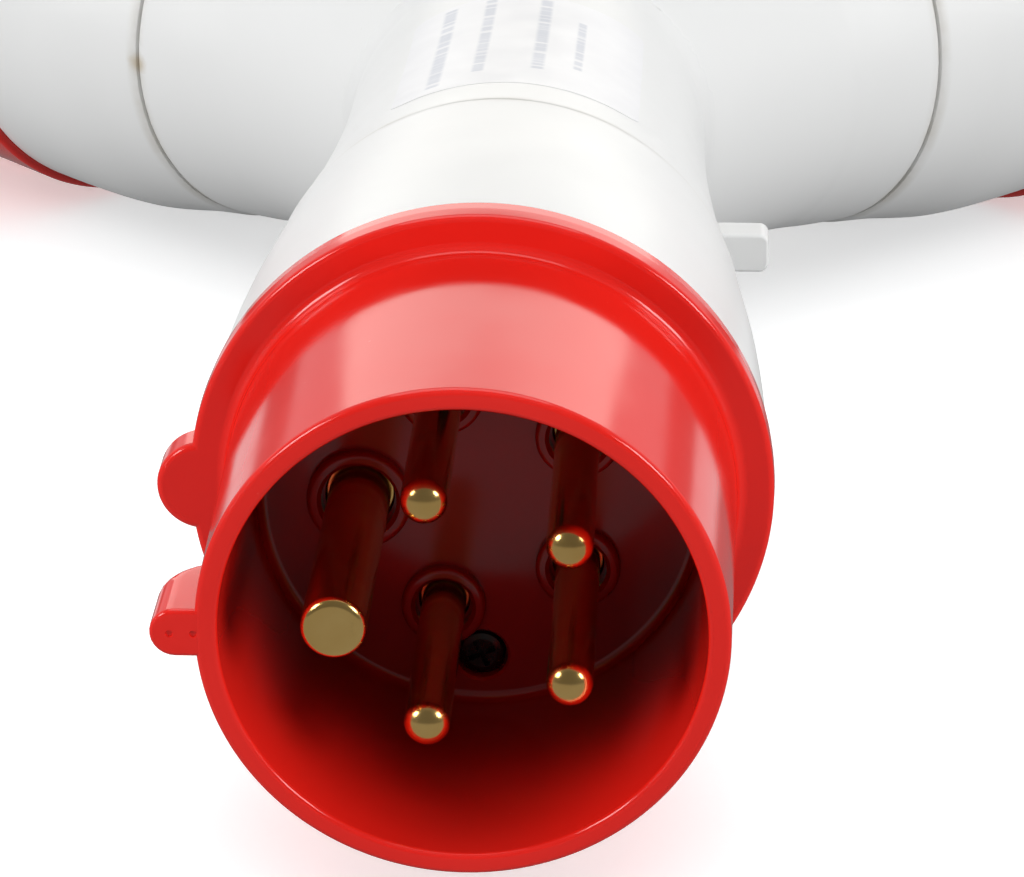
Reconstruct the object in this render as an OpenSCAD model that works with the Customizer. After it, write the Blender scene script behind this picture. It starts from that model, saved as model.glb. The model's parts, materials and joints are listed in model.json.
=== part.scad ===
// Two-way splitter for five-pole 16 A pin and sleeve connectors.
// A plug points along -Y. Behind it a Y-shaped hub carries two sockets, swept back by the arm angle.
// Origin: on the plug's axis, in the plane of the collar's front face. +Z is up. Millimetres.

/* [Plug] */
// Outer radius of the plug sleeve at its mouth
sleeve_r = 28; // [27.9:0.05:28.1]
// Length of the plug sleeve in front of the collar
sleeve_len = 37.7; // [37:0.1:38.2]
// Radius of the circle that the pins stand on
pin_circle_r = 13.6; // [13.5:0.05:13.7]
// Radius of the line and neutral pins
pin_r = 2.5; // [2.48:0.01:2.5]
// Radius of the earth pin
earth_r = 3.5; // [3.48:0.01:3.5]
// How far the line pins reach in front of the collar face
pin_reach = 33.5; // [33:0.1:34]
// How far the earth pin reaches in front of the collar face
earth_reach = 36.2; // [35.8:0.1:36.6]
// Width of the key rib on the sleeve
key_w = 5.4; // [5.2:0.1:5.6]

/* [Hub] */
// Distance from the collar face to the point where the arm axes cross
hub_y = 140; // [138:0.5:142]
// Angle of each arm away from the plug's axis
arm_angle = 45; // [43:1:47]
// Distance from the crossing to the seam of each socket housing
seam_s = 54; // [53.5:0.1:54.5]
// Outer radius of the hub where the arms cross
hub_r = 28.4; // [28:0.1:28.8]

/* [Sockets] */
// Inner radius of the slot that the plug sleeve enters
slot_r = 29; // [28.9:0.05:29.1]
// Outer radius of the contact carrier
carrier_r = 25.15; // [25:0.05:25.2]
// Distance from the crossing to the rim of a socket
rim_s = 132; // [131.5:0.1:132.5]

/* [Leads] */
// Outer radius of one lead
lead_r = 1.7; // [1.5:0.1:1.7]

/* [Hidden] */
$fn = 96;

red = [0.86, 0.14, 0.10];
white = [0.95, 0.95, 0.95];
brass = [0.80, 0.62, 0.34];
steel = [0.75, 0.75, 0.77];
dark = [0.10, 0.09, 0.09];
black = [0.06, 0.06, 0.06];
// Pole numbers: 0 earth, 1 to 3 the lines, 4 neutral.
lead_colours = [[0.35, 0.62, 0.20], [0.36, 0.20, 0.10], [0.07, 0.07, 0.07], [0.45, 0.46, 0.47], [0.10, 0.30, 0.68]];

// In the plug's own frame z runs from the collar face to the mouth, x is right and y is up.
module on_plug() rotate([90, 0, 0]) children();
// In an arm's own frame z runs outwards from the crossing and y points down. side is 1 right, -1 left.
module on_arm(side) translate([0, hub_y, 0]) rotate([0, 0, -arm_angle * side]) rotate([-90, 0, 0]) children();
// Pole i: its angle on the plug's pin circle and on a socket's.
function plug_a(i) = 180 - 72 * i;
function sock_a(i) = 90 + 72 * i;
module at_pole(i, a0) rotate([0, 0, a0]) translate([pin_circle_r, 0, 0]) children();
module turned(pts) rotate_extrude() polygon(pts);
module tube(ro, ri, z0, z1) difference() {
  translate([0, 0, z0]) cylinder(r = ro, h = z1 - z0);
  translate([0, 0, z0 - 1]) cylinder(r = ri, h = z1 - z0 + 2);
}
// A ring of round section.
module ring(r, w) rotate_extrude() translate([r, 0]) circle(r = w, $fn = 24);

// ---- plug shroud: sleeve, collar, key, index knob, floor and rings in one moulding ----
screw_y = 19.5;
ring_r = 4.8;
key_out = 32.75;
key_len = 11.9;
module shroud_turned() turned([
  [0, 2], [25.1, 2], [25.4, 2.3], [25.6, sleeve_len - 0.9], [25.75, sleeve_len - 0.35], [26.15, sleeve_len],
  [27.3, sleeve_len], [27.75, sleeve_len - 0.2], [sleeve_r, sleeve_len - 0.7], [28.6, 1.6], [28.85, 0.7], [29.6, 0.1], [30.2, 0],
  [32.2, 0], [32.55, -0.12], [32.8, -0.45], [33, -1.6], [33.05, -2.6], [32.95, -4.2], [32.6, -4.7],
  [29.4, -4.7], [29.4, -8], [28, -8], [28, -10.4], [29.4, -10.4], [29.4, -14], [29, -14.5], [26.8, -14.5], [26.4, -14.1],
  [26.4, -4.5], [0, -4.5]]);
module plug_shroud() color(red) on_plug() difference() {
  union() {
    shroud_turned();
    // Key rib, round at its outer end and at its back corner.
    intersection() {
      translate([0, 0, sleeve_len - key_len]) linear_extrude(key_len) difference() {
        union() {
          translate([key_w / 2 - key_out, -key_w / 2]) square([key_out - 25.5, key_w]);
          translate([key_w / 2 - key_out, 0]) circle(d = key_w);
        }
        circle(r = 26.8);
      }
      translate([0, 4, 0]) rotate([90, 0, 0]) linear_extrude(8) union() {
        translate([-34, sleeve_len - key_len + 4]) square([10, key_len - 4.1]);
        translate([4.2 - 33, sleeve_len - key_len - 1]) square([6, key_len]);
        translate([4.2 - 33, sleeve_len - key_len + 4.1]) circle(r = 4.2);
      }
    }
    // Index knob on the collar.
    translate([-31.5, 0, -4.7]) cylinder(r = 5.3, h = 4.7);
    // A raised ring round each pin, and a boss round each screw.
    for (i = [0:4]) at_pole(i, plug_a(i)) translate([0, 0, 1]) cylinder(r = i == 0 ? ring_r + 1.1 : ring_r, h = 2.4);
  }
  // Keeps the knob clear of the sleeve's own spigot.
  tube(29.4 + 12, 29.4, -20, -4.7);
  for (i = [0:4]) at_pole(i, plug_a(i)) {
    r = i == 0 ? earth_r : pin_r;
    translate([0, 0, -6]) cylinder(r = r + 0.45, h = 12);
    translate([0, 0, 1.2]) cylinder(r = r + 0.75, h = 6);
  }
  for (s = [-1, 1]) translate([0, s * screw_y, 0]) {
    translate([0, 0, -6]) cylinder(r = 1.7, h = 12);
    translate([0, 0, -0.6]) cylinder(r = 3, h = 6);
  }
  // Two ejector dimples in the key's front face.
  for (x = [-28.1, -30.6]) translate([x, 0, sleeve_len - 0.35]) cylinder(r = 0.45, h = 1);
}

// ---- pins: turned brass, with a flange behind the floor and a terminal barrel ----
barrel_r = 4;
shank_top = 3.6;
module line_pin(i) color(brass) on_plug() at_pole(i, plug_a(i)) difference() {
  turned([[0, -22], [barrel_r - 0.3, -22], [barrel_r, -21.7], [barrel_r, -6.5], [4.4, -6.5], [4.4, -4.5], [pin_r + 0.4, -4.5],
    [pin_r + 0.4, shank_top - 0.3], [pin_r, shank_top], [pin_r, pin_reach - 2], [pin_r * 0.97, pin_reach - 1.4], [pin_r * 0.86, pin_reach - 0.85], [pin_r * 0.68, pin_reach - 0.42],
    [pin_r * 0.45, pin_reach - 0.15], [pin_r * 0.2, pin_reach - 0.02], [0, pin_reach]]);
  translate([0, 0, -23]) cylinder(r = 2.6, h = 11);
  translate([0, 0, -17]) rotate([0, 90, 0]) cylinder(r = 1.6, h = 10);
}
module pin_of_earth() color(brass) on_plug() at_pole(0, plug_a(0)) difference() {
  turned([[0, -22], [barrel_r - 0.3, -22], [barrel_r, -21.7], [barrel_r, -6.5], [5.2, -6.5], [5.2, -4.5], [earth_r + 0.4, -4.5],
    [earth_r + 0.4, shank_top - 0.3], [earth_r, shank_top], [earth_r, earth_reach - 1.1], [earth_r - 0.12, earth_reach - 0.6], [earth_r - 0.42, earth_reach - 0.2], [earth_r - 0.9, earth_reach], [0, earth_reach]]);
  translate([0, 0, -23]) cylinder(r = 2.6, h = 11);
  translate([0, 0, -17]) rotate([0, 90, 0]) cylinder(r = 1.6, h = 10);
}
module earth_pin() pin_of_earth();
module line_1_pin() line_pin(1);
module line_2_pin() line_pin(2);
module line_3_pin() line_pin(3);
module neutral_pin() line_pin(4);

module pin_retainer() color(dark) on_plug() difference() {
  union() {
    translate([0, 0, -9.5]) cylinder(r = 25.8, h = 3);
    for (s = [-1, 1]) translate([0, s * screw_y, -13]) cylinder(r = 3.3, h = 8.5);
  }
  for (i = [0:4]) at_pole(i, plug_a(i)) translate([0, 0, -12]) cylinder(r = barrel_r + 0.1, h = 8);
  for (s = [-1, 1]) translate([0, s * screw_y, -12]) cylinder(r = 1.5, h = 10);
}
// A cross-head screw: z runs out of the head, whose top is at z = 0.
module cross_screw(head_r, head_h, r, len) difference() {
  turned([[0, -head_h - len], [r - 0.4, -head_h - len], [r, -head_h - len + 0.5], [r, -head_h], [head_r, -head_h],
    [head_r, -0.7], [head_r - 0.3, -0.25], [head_r - 0.9, 0], [0, 0]]);
  translate([0, 0, -1.3]) linear_extrude(3) union() {
    square([0.7, head_r * 1.25], center = true);
    square([head_r * 1.25, 0.7], center = true);
  }
}
module shroud_screws() color(dark) on_plug() for (s = [-1, 1])
  translate([0, s * screw_y, 1.6]) rotate([0, 0, 25]) cross_screw(2.7, 2.2, 1.5, 10);
// Slotted grub screw, along +x, in a barrel whose axis is z.
module grub() rotate([0, 90, 0]) difference() {
  translate([0, 0, 2.7]) cylinder(r = 1.6, h = 3.3);
  translate([-0.3, -3, 5.2]) cube([0.6, 6, 2]);
}
module plug_terminal_screws() color(steel) on_plug() for (i = [0:4]) at_pole(i, plug_a(i)) translate([0, 0, -17]) grub();
module shroud_seal() color(black) on_plug() translate([0, 0, -9.2]) ring(28.74, 0.7);

// ---- neck: from the collar to the hub's seam, with a spigot into the hub ----
module neck_housing() color(white) on_plug() difference() {
  turned([[29.5, -4.7], [32.2, -4.7], [32.4, -5], [32.35, -12], [32.1, -21], [31.6, -30], [30.9, -38], [30.25, -45], [29.8, -50.2], [29.5, -50.8],
    [23.4, -50.8], [23.4, -85.5], [22.9, -86], [21.2, -86], [21.2, -52], [25.4, -38], [29.2, -22], [29.5, -16]]);
  // Pocket for the lock tab.
  translate([20, -2.7, -82.3]) cube([6, 5.7, 5.6]);
}

// ---- hub: one Y-shaped hollow moulding ----
stem_y0 = 51;
stem = [[stem_y0 + 0.6, 29.5], [59, 28.7], [66, 27.8], [84, 26.3], [100, 25.4], [118, 25]];
function stem_r(y) = lookup(y, stem);
module arm_skin() turned([[0, 2], [hub_r - 0.25, 2], [28.5, 32], [29.1, 40], [30.1, 47], [30.8, seam_s - 0.8], [30.5, seam_s - 0.1], [30.1, seam_s], [0, seam_s]]);
module hub_body() color(white) difference() {
  union() {
    on_plug() turned(concat([[0, -stem_y0], [29.2, -stem_y0]], [for (p = stem) [p[1], -p[0]]], [[25, -hub_y], [0, -hub_y]]));
    translate([0, hub_y, 0]) sphere(r = hub_r);
    for (s = [-1, 1]) on_arm(s) arm_skin();
  }
  on_plug() turned([[0, -46], [23.5, -46], [23.5, -88], [21.8, -90], [21.8, -hub_y], [0, -hub_y]]);
  translate([0, hub_y, 0]) sphere(r = 25.4);
  for (s = [-1, 1]) on_arm(s) turned([[0, 2], [25.15, 2], [25.4, 38], [27, 40], [27, 60], [0, 60]]);
  translate([18, 76.75, -2.7]) cube([20, 5.5, 5.7]);
}
// Sliding lock: a flat tongue with round outer corners, through the hub's wall into the neck's spigot.
tab_x = 33.4;
module lock_tab() color(white) translate([0, 82, 0]) rotate([90, 0, 0]) linear_extrude(5) union() {
  translate([21.6, -2.45]) square([tab_x - 1.2 - 21.6, 5.2]);
  translate([21.6, -1.25]) square([tab_x - 21.6, 2.8]);
  for (y = [-1.25, 1.55]) translate([tab_x - 1.2, y]) circle(r = 1.2, $fn = 32);
}
// Thin label that follows the top of the stem.
module hub_label() color([0.97, 0.97, 0.98]) intersection() {
  on_plug() difference() {
    turned(concat([[0, -61]], [for (y = [61, 66, 84, 100, 109]) [stem_r(y) + 0.2, -y]], [[0, -109]]));
    turned(concat([[0, -60]], [for (y = [60, 66, 84, 100, 110]) [stem_r(y), -y]], [[0, -110]]));
  }
  translate([-14.5, 60, 15]) cube([31, 50, 20]);
}

// ---- leads: each bundle of five swings over, closes up, turns into its arm and opens out again ----
function lerp(a, b, t) = a + (b - a) * t;
function ramp(a, b, x) = let (t = min(1, max(0, (x - a) / (b - a)))) t * t * (3 - 2 * t);
lead_y0 = 22;
swing_x = 8;
bend_y = 104;
bend_s = 64;
sock_term_s = 77;
c45 = cos(arm_angle);
s45 = sin(arm_angle);
// Bend control points in the (x, y) plane, right side.
bend_p0 = [swing_x, bend_y];
bend_p1 = [swing_x, hub_y + swing_x * c45 / s45];
bend_p2 = [bend_s * s45, hub_y + bend_s * c45];
straight_n = 12;
bend_n = 12;
end_n = 2;
ring_n = straight_n + bend_n + end_n;
function bez(t) = (1 - t) * (1 - t) * bend_p0 + 2 * t * (1 - t) * bend_p1 + t * t * bend_p2;
function bez_d(t) = 2 * (1 - t) * (bend_p1 - bend_p0) + 2 * t * (bend_p2 - bend_p1);
function lead_centre(k) =
  k < straight_n ? let (y = lerp(lead_y0, bend_y, k / straight_n)) [lerp(1.8, swing_x, ramp(26, 46, y)), y] :
  k < straight_n + bend_n ? bez((k - straight_n) / bend_n) :
  let (s = lerp(bend_s, sock_term_s, (k - straight_n - bend_n) / end_n)) [s * s45, hub_y + s * c45];
function lead_dir(k) =
  k < straight_n ? [0, 1] :
  k < straight_n + bend_n ? let (d = bez_d((k - straight_n) / bend_n)) d / norm(d) : [s45, c45];
function lead_rad(k) = pin_circle_r - 7.6 * ramp(38, 58, lerp(lead_y0, bend_y, min(k, straight_n) / straight_n)) + 7.6 * ramp(straight_n + 6, straight_n + bend_n + 1, k);
function lead_twist(k) = 90 * ramp(straight_n - 2, straight_n + bend_n, k);
function lead_pt(i, side, k) = let (c = lead_centre(k), d = lead_dir(k), r = lead_rad(k),
  al = plug_a(i) + lead_twist(k),
  h = r * cos(al), v = r * sin(al))
  side > 0 ? [c[0] + h * d[1], c[1] - h * d[0], v] : [-c[0] + h * d[1], c[1] + h * d[0], v];
module lead(i, side) {
  m = 8;
  pts = [for (k = [0:ring_n]) lead_pt(i, side, k)];
  tans = [for (k = [0:ring_n]) let (e = k == 0 ? [0, 1, 0] : k == ring_n ? [side * s45, c45, 0] : pts[k + 1] - pts[k - 1]) e / norm(e)];
  verts = [for (k = [0:ring_n]) let (t = tans[k], n0 = cross([0, 0, 1], t), n = n0 / norm(n0), b = cross(t, n))
    for (j = [0:m - 1]) pts[k] + lead_r * (cos(360 * j / m) * n + sin(360 * j / m) * b)];
  faces = concat([[for (j = [0:m - 1]) j]], [[for (j = [0:m - 1]) ring_n * m + m - 1 - j]],
    [for (k = [0:ring_n - 1]) for (j = [0:m - 1]) [k * m + j, (k + 1) * m + j, (k + 1) * m + (j + 1) % m, k * m + (j + 1) % m]]);
  color(lead_colours[i]) polyhedron(verts, faces, 2);
}
module left_earth_lead() lead(0, -1);
module left_line_1_lead() lead(1, -1);
module left_line_2_lead() lead(2, -1);
module left_line_3_lead() lead(3, -1);
module left_neutral_lead() lead(4, -1);
module right_earth_lead() lead(0, 1);
module right_line_1_lead() lead(1, 1);
module right_line_2_lead() lead(2, 1);
module right_line_3_lead() lead(3, 1);
module right_neutral_lead() lead(4, 1);

// ---- socket, in the arm's frame ----
front_s = 93.7;
module socket_housing() color(white) turned([
  [30.1, seam_s], [30.9, seam_s + 0.15], [31.4, seam_s + 0.9], [32.6, 62], [33.7, 67], [34.7, 72], [35.2, 77], [35.45, 82], [35.6, 88], [35.65, front_s - 0.4], [35.4, front_s],
  [31.9, front_s], [31.9, 76], [30.6, 74], [28, 62], [24.6, 56], [24.6, 41.4], [25, 41], [26.4, 41], [26.9, 41.5], [26.9, seam_s]]);
module housing_seal() color(black) translate([0, 0, 81.2]) ring(31.14, 0.7);

hinge_y = -37.6;
hinge_z = rim_s - 2.5;
ear_r = 2.7;
mouth_r = 33;
key_slot_w = key_w + 1.3;
carrier_foot = 93;
carrier_face = 125.5;
screw_x = 22.3;
module socket_front() color(red) difference() {
  union() {
    turned([[20, carrier_foot - 4], [29.2, carrier_foot - 4], [29.2, 76], [31.4, 76], [31.8, 76.4], [31.8, 80], [30.4, 80], [30.4, 82.4], [31.8, 82.4], [31.8, front_s],
      [36, front_s], [36.6, front_s + 0.3], [36.9, front_s + 1.2], [36.9, 110.5], [36.7, 111.2], [36.1, 111.6], [mouth_r, 111.6],
      [mouth_r, rim_s - 0.6], [mouth_r - 0.5, rim_s], [slot_r + 0.5, rim_s], [slot_r, rim_s - 0.6], [slot_r, carrier_foot], [20, carrier_foot]]);
    // Housing of the keyway, at the bottom.
    intersection() {
      translate([-5.6, 31, 108]) cube([11.2, 6.2, rim_s - 108]);
      cylinder(r = 37.2, h = rim_s);
    }
    // Hinge ears, at the top.
    for (x = [-9.6, 6.1]) translate([x, 0, 0]) {
      translate([0, hinge_y, hinge_z]) rotate([0, 90, 0]) cylinder(r = ear_r, h = 3.5);
      translate([0, hinge_y, hinge_z - ear_r]) cube([3.5, -hinge_y - 30, 2 * ear_r]);
      translate([0, -36, 108]) cube([3.5, 6, hinge_z - 108]);
    }
  }
  // Ears and keyway housing stay out of the slot.
  translate([0, 0, carrier_foot]) cylinder(r = slot_r, h = 60);
  // Keyway.
  translate([-key_slot_w / 2, 20, rim_s - 14]) cube([key_slot_w, 14, 20]);
  for (x = [-screw_x, screw_x]) translate([x, 0, 80]) cylinder(r = 1.7, h = 20);
  translate([-20, hinge_y, hinge_z]) rotate([0, 90, 0]) cylinder(r = 1.5, h = 40);
}
function contact_r(i) = i == 0 ? earth_r + 0.05 : pin_r + 0.05;
module contact_carrier() color(red) difference() {
  union() {
    turned([[0, 86], [19.6, 86], [19.6, carrier_foot], [carrier_r, carrier_foot], [carrier_r, carrier_face - 0.8], [carrier_r - 0.8, carrier_face], [0, carrier_face]]);
  }
  for (i = [0:4]) at_pole(i, sock_a(i)) {
    translate([0, 0, 80]) cylinder(r = contact_r(i) + 1.25, h = carrier_face - 83.2);
    translate([0, 0, 80]) cylinder(r = contact_r(i) + 0.5, h = 60);
    translate([0, 0, carrier_face - 0.9]) cylinder(r1 = contact_r(i) + 0.5, r2 = contact_r(i) + 1.6, h = 1.1);
  }
  for (x = [-screw_x, screw_x]) translate([x, 0, 90]) cylinder(r = 1.5, h = 12);
  // Moulding recess in the middle of the face.
  translate([0, 0, carrier_face - 3]) cylinder(r = 5, h = 10);
}
module contact(i) color(brass) at_pole(i, sock_a(i)) difference() {
  turned([[0, sock_term_s], [3.7, sock_term_s], [barrel_r, sock_term_s + 0.3], [barrel_r, 85.7], [contact_r(i) + 1.15, 86], [contact_r(i) + 1.15, 121.6], [contact_r(i) + 0.85, 122], [0, 122]]);
  translate([0, 0, 94]) cylinder(r = contact_r(i), h = 40);
  translate([0, 0, sock_term_s - 1]) cylinder(r = 1.7, h = 10);
  translate([0, 0, 81]) rotate([0, 90, 0]) cylinder(r = 1.6, h = 10);
  // Two slits let the sleeve spring.
  translate([-0.35, -8, 106]) cube([0.7, 16, 20]);
}
module terminal_screws() color(steel) for (i = [0:4]) at_pole(i, sock_a(i)) translate([0, 0, 81]) grub();
module carrier_screws() color(steel) for (x = [-screw_x, screw_x]) translate([x, 0, carrier_foot - 6.2]) rotate([180, 0, 0]) cross_screw(2.6, 2.2, 1.5, 9);

// ---- lid ----
lid_z = rim_s + 1.4;
module lid() color(red) difference() {
  union() {
    // Domed disc with a skirt, open towards the hinge.
    turned([[0, lid_z], [33.4, lid_z], [33.4, rim_s - 1.6], [33.7, rim_s - 1.9], [34.7, rim_s - 1.9], [35, rim_s - 1.6],
      [35, rim_s + 2.6], [34.6, rim_s + 3.4], [33.6, rim_s + 3.9], [28, rim_s + 4.6], [14, rim_s + 5.2], [0, rim_s + 5.4]]);
    // Cover of the keyway and finger lip.
    translate([-8, 26, lid_z]) cube([16, 10.6, 2.6]);
    translate([-8, 34.2, lid_z]) cube([16, 2.4, 6.6]);
    // Knuckles.
    for (x = [-5.8, 3]) translate([x, hinge_y, 0]) {
      translate([0, 0, hinge_z]) rotate([0, 90, 0]) cylinder(r = ear_r, h = 2.8);
      translate([0, -1.2, hinge_z]) cube([2.8, 3.9, lid_z + 1.5 - hinge_z]);
      translate([0, -1.2, lid_z]) cube([2.8, 12, 2]);
    }
    translate([-9.6, hinge_y - 1.2, lid_z]) cube([19.2, 12, 2.2]);
  }
  // The skirt is cut away over the hinge and over the keyway housing.
  translate([-40, -50, rim_s - 3]) cube([80, 30, lid_z - rim_s + 3]);
  translate([-6.2, 20, rim_s - 3]) cube([12.4, 30, lid_z - rim_s + 3]);
  translate([-20, hinge_y, hinge_z]) rotate([0, 90, 0]) cylinder(r = 1.56, h = 40);
}
module lid_knuckles() color(red) difference() {
  for (x = [-5.8, 3]) translate([x, hinge_y, 0]) {
    translate([0, 0, hinge_z]) rotate([0, 90, 0]) cylinder(r = ear_r, h = 2.8);
    translate([0, -1.2, hinge_z]) cube([2.8, 3.9, lid_z + 1.5 - hinge_z]);
  }
  translate([-20, hinge_y, hinge_z]) rotate([0, 90, 0]) cylinder(r = 1.56, h = 40);
}
module whole_lid() union() { lid(); lid_knuckles(); }
module lid_gasket() color(black) tube(32.6, 29.2, rim_s + 0.3, lid_z);
module hinge_pin() color(steel) translate([-10.4, hinge_y, hinge_z]) rotate([0, 90, 0])
  turned([[0, 0], [1.2, 0], [1.5, 0.3], [1.5, 20.5], [1.2, 20.8], [0, 20.8]]);
// Torsion spring: five turns of wire round the hinge pin, with short legs.
module lid_spring() {
  m = 6;
  turns = 5;
  n = 14 * turns;
  pts = [for (k = [0:n]) let (a = 360 * turns * k / n) [-2.3 + 4.6 * k / n, hinge_y + 2.1 * cos(a), hinge_z + 2.1 * sin(a)]];
  verts = [for (k = [0:n]) let (a = 360 * turns * k / n, t0 = [4.6 / n, -2.1 * sin(a) * 2 * PI * turns / n, 2.1 * cos(a) * 2 * PI * turns / n], t = t0 / norm(t0),
    nn = [0, cos(a), sin(a)], b = cross(t, nn)) for (j = [0:m - 1]) pts[k] + 0.36 * (cos(60 * j) * nn + sin(60 * j) * b)];
  faces = concat([[for (j = [0:m - 1]) j]], [[for (j = [0:m - 1]) n * m + m - 1 - j]],
    [for (k = [0:n - 1]) for (j = [0:m - 1]) [k * m + j, (k + 1) * m + j, (k + 1) * m + (j + 1) % m, k * m + (j + 1) % m]]);
  color(steel) polyhedron(verts, faces, 2);
}

module left_socket_housing() on_arm(-1) socket_housing();
module left_housing_seal() on_arm(-1) housing_seal();
module left_socket_front() on_arm(-1) socket_front();
module left_contact_carrier() on_arm(-1) contact_carrier();
module left_earth_contact() on_arm(-1) contact(0);
module left_line_1_contact() on_arm(-1) contact(1);
module left_line_2_contact() on_arm(-1) contact(2);
module left_line_3_contact() on_arm(-1) contact(3);
module left_neutral_contact() on_arm(-1) contact(4);
module left_terminal_screws() on_arm(-1) terminal_screws();
module left_carrier_screws() on_arm(-1) carrier_screws();
module left_lid() on_arm(-1) whole_lid();
module left_lid_gasket() on_arm(-1) lid_gasket();
module left_hinge_pin() on_arm(-1) hinge_pin();
module left_lid_spring() on_arm(-1) lid_spring();
module right_socket_housing() on_arm(1) socket_housing();
module right_housing_seal() on_arm(1) housing_seal();
module right_socket_front() on_arm(1) socket_front();
module right_contact_carrier() on_arm(1) contact_carrier();
module right_earth_contact() on_arm(1) contact(0);
module right_line_1_contact() on_arm(1) contact(1);
module right_line_2_contact() on_arm(1) contact(2);
module right_line_3_contact() on_arm(1) contact(3);
module right_neutral_contact() on_arm(1) contact(4);
module right_terminal_screws() on_arm(1) terminal_screws();
module right_carrier_screws() on_arm(1) carrier_screws();
module right_lid() on_arm(1) whole_lid();
module right_lid_gasket() on_arm(1) lid_gasket();
module right_hinge_pin() on_arm(1) hinge_pin();
module right_lid_spring() on_arm(1) lid_spring();

plug_shroud();
earth_pin();
line_1_pin();
line_2_pin();
line_3_pin();
neutral_pin();
pin_retainer();
shroud_screws();
plug_terminal_screws();
shroud_seal();
neck_housing();
lock_tab();
hub_body();
hub_label();
left_earth_lead();
left_line_1_lead();
left_line_2_lead();
left_line_3_lead();
left_neutral_lead();
right_earth_lead();
right_line_1_lead();
right_line_2_lead();
right_line_3_lead();
right_neutral_lead();
left_socket_housing();
left_housing_seal();
left_socket_front();
left_contact_carrier();
left_earth_contact();
left_line_1_contact();
left_line_2_contact();
left_line_3_contact();
left_neutral_contact();
left_terminal_screws();
left_carrier_screws();
left_lid();
left_lid_gasket();
left_hinge_pin();
left_lid_spring();
right_socket_housing();
right_housing_seal();
right_socket_front();
right_contact_carrier();
right_earth_contact();
right_line_1_contact();
right_line_2_contact();
right_line_3_contact();
right_neutral_contact();
right_terminal_screws();
right_carrier_screws();
right_lid();
right_lid_gasket();
right_hinge_pin();
right_lid_spring();
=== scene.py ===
"""Looks for the two-way splitter with a pin and sleeve plug and two sockets.
Shapes are written in millimetres in the plug's own frame or an arm's own frame, and put into the row frame in metres."""

import bpy
import bmesh
import json
import math
import numpy as np
from mathutils import Matrix, Vector


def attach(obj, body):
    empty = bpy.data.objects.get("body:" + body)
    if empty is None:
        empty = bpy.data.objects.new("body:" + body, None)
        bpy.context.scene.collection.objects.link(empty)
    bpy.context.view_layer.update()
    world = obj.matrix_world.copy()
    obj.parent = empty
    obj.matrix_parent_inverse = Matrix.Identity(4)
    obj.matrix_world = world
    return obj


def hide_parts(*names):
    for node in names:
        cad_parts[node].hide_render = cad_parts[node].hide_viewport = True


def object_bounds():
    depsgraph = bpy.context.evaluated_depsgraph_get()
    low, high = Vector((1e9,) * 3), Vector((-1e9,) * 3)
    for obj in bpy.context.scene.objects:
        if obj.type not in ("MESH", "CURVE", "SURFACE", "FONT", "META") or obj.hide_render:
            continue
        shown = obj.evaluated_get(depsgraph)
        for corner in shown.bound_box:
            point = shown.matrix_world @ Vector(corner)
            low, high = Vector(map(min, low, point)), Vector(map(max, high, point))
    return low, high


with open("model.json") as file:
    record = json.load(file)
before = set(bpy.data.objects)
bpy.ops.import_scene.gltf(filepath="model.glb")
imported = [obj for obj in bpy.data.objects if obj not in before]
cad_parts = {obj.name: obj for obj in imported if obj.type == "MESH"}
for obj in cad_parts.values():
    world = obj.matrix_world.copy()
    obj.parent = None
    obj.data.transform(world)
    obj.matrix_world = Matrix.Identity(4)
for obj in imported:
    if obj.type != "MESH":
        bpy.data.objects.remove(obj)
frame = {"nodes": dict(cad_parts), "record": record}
CAD_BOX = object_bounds()
NODES = frame["nodes"]

# ------------------------------------------------------------------ sizes (mm)
SLEEVE_LEN = 37.7
HUB_Y = 140.0
SEAM_Y = 51.0
SEAM_S = 54.0
FRONT_S = 93.7
RIM_S = 132.0
SLOT_R = 29.0
CARRIER_FACE = 125.5
CARRIER_FOOT = 93.0
PIN_CIRCLE = 13.6
PIN_R, EARTH_R = 2.5, 3.5
PIN_REACH, EARTH_REACH = 33.5, 36.2
HINGE_Y, HINGE_Z = -37.6, RIM_S - 2.5
LID_Z = RIM_S + 1.4
S45 = math.sqrt(0.5)


def plug_angle(i):
    return math.radians(180 - 72 * i)


def sock_angle(i):
    return math.radians(90 + 72 * i)


# ------------------------------------------------------------------ frames
def on_plug(p):
    p = np.asarray(p, float)
    return np.stack([p[:, 0], -p[:, 2], p[:, 1]], 1)


def on_arm(side):
    a = -math.pi / 4 * side
    ca, sa = math.cos(a), math.sin(a)

    def f(p):
        p = np.asarray(p, float)
        x, y, z = p[:, 0], p[:, 2], -p[:, 1]
        return np.stack([x * ca - y * sa, x * sa + y * ca + HUB_Y, z], 1)

    return f


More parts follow.
